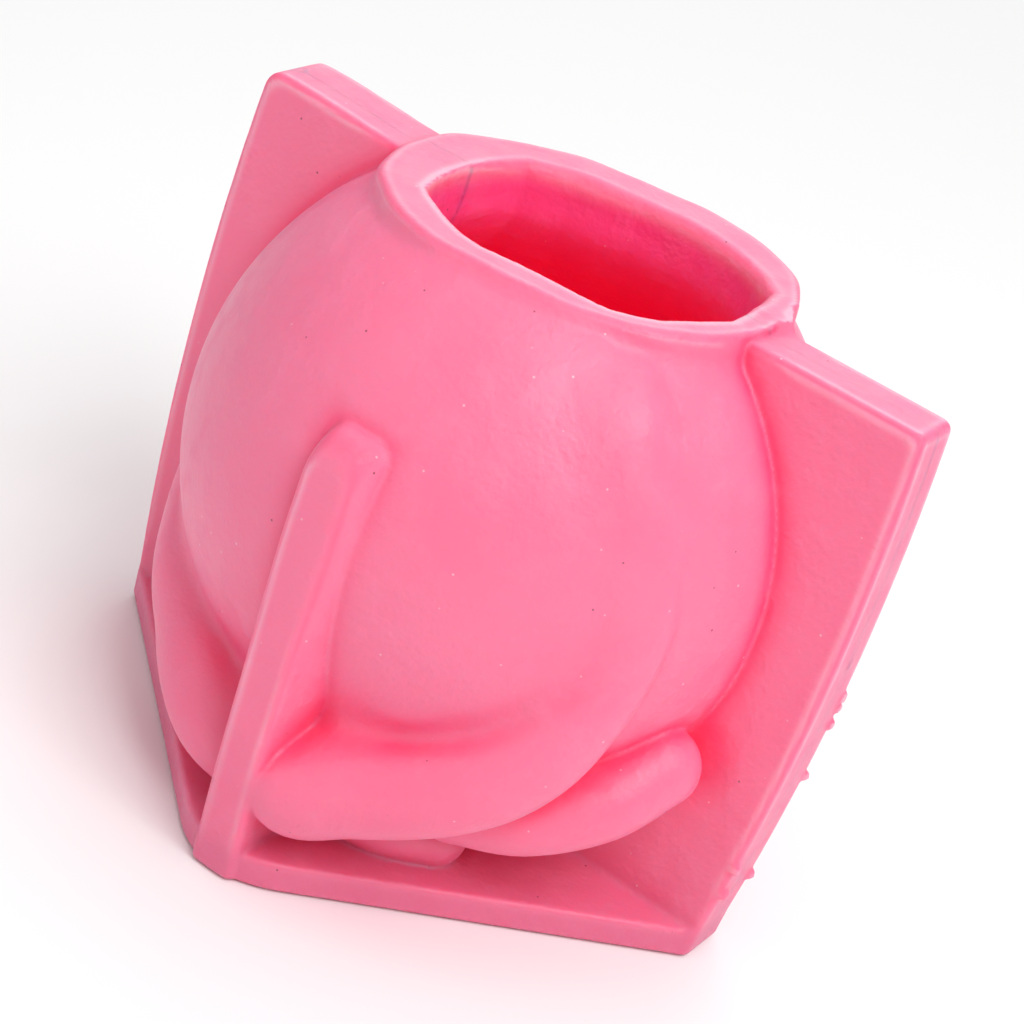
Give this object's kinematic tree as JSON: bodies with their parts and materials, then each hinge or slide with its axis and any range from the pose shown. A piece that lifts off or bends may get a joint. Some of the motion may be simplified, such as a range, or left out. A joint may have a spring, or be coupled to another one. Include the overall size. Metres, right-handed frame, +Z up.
{
  "type": "resin casting mould",
  "caption": "Soft silicone casting mould for a round pot hugged by moulded limbs, with flat side wings, a kite base and an open mouth; it opens like a book on an uncut edge.",
  "frame": {"origin": "middle of the footprint, on the table under the base plate", "axes": "+X along the side wings to the cut wing, +Y towards the plain back half, +Z up through the mouth"},
  "size_m": [0.1134, 0.0988, 0.09],
  "materials": {
    "pink_silicone": "satin"
  },
  "bodies": {
    "back_half": {"back_shell": "pink_silicone", "back_mouth_rim": "pink_silicone", "back_base_plate": "pink_silicone", "back_fin": "pink_silicone", "right_wing_back_leaf": "pink_silicone", "left_wing_back_leaf": "pink_silicone", "hinge_web": "pink_silicone"},
    "front_half": {"front_shell": "pink_silicone", "front_mouth_rim": "pink_silicone", "front_base_plate": "pink_silicone", "front_fin": "pink_silicone", "right_wing_front_leaf": "pink_silicone", "left_wing_front_leaf": "pink_silicone", "right_arm_ridge": "pink_silicone", "left_arm_ridge": "pink_silicone", "right_leg_ridge": "pink_silicone", "left_leg_ridge": "pink_silicone", "right_foot_ridge": "pink_silicone", "left_foot_ridge": "pink_silicone"}
  },
  "joints": [
    {"name": "book_hinge", "type": "hinge", "parent": "back_half", "child": "front_half", "pos_m": [-0.05691, 0, 0.045], "axis": [0, 0, -1], "range_deg": [0, 75], "stiffness_Nm_per_rad": 0.02, "deforming": ["hinge_web"]}
  ]
}
